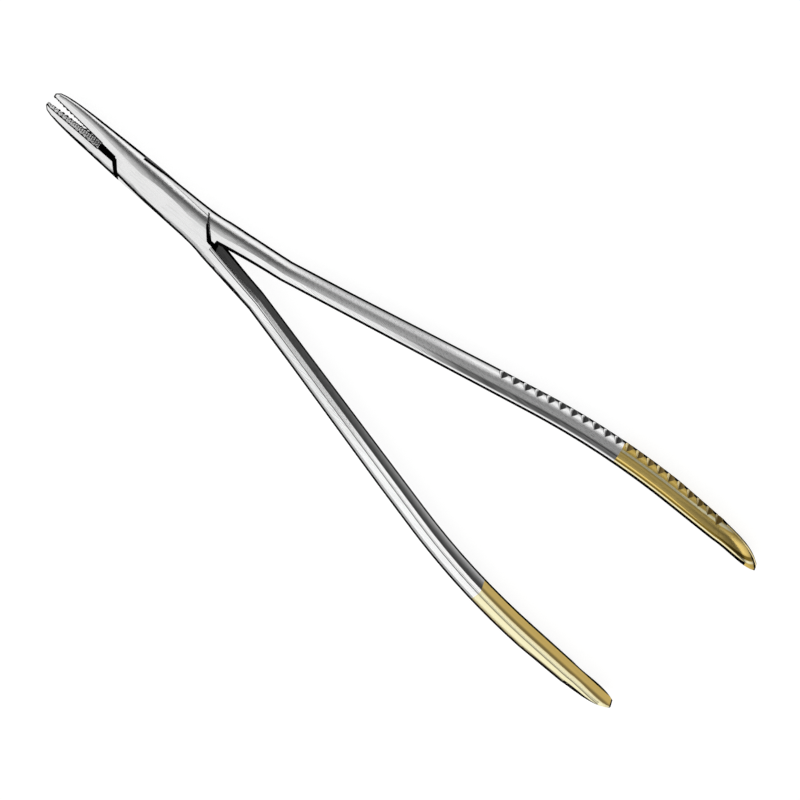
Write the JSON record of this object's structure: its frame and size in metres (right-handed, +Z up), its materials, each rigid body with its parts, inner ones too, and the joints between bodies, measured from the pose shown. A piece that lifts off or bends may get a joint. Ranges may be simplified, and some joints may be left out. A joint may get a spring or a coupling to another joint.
{
  "type": "surgical needle holder",
  "caption": "Straight needle holder with a box lock, serrated carbide jaw inserts, slender spreading shanks and gold-plated handle ends with finger notches, no rings.",
  "frame": {"origin": "where the pivot axis meets the lower cheek face of the box", "axes": "+X along the middle of the closed instrument towards the jaws, +Z up along the pivot axis, so it lies as on a table"},
  "size_m": [0.1793, 0.0542, 0.0073],
  "materials": {
    "steel_box_half": "satin stainless steel, the last third of the handle gold-plated and polished",
    "steel_tongue_half": "satin stainless steel, the last third of the handle gold-plated and polished",
    "carbide": "ground tungsten carbide, cross-cut serrations",
    "pin_steel": "ground flush with the cheeks"
  },
  "bodies": {
    "box_side": {"box_half": "steel_box_half", "pivot_pin": "pin_steel", "box_jaw_insert": "carbide"},
    "tongue_side": {"tongue_half": "steel_tongue_half", "tongue_jaw_insert": "carbide"}
  },
  "joints": [
    {"name": "box_lock", "type": "hinge", "parent": "box_side", "child": "tongue_side", "pos_m": [0, 0, 0.0031], "axis": [0, 0, 1], "range_deg": [-3.7, 30]}
  ]
}
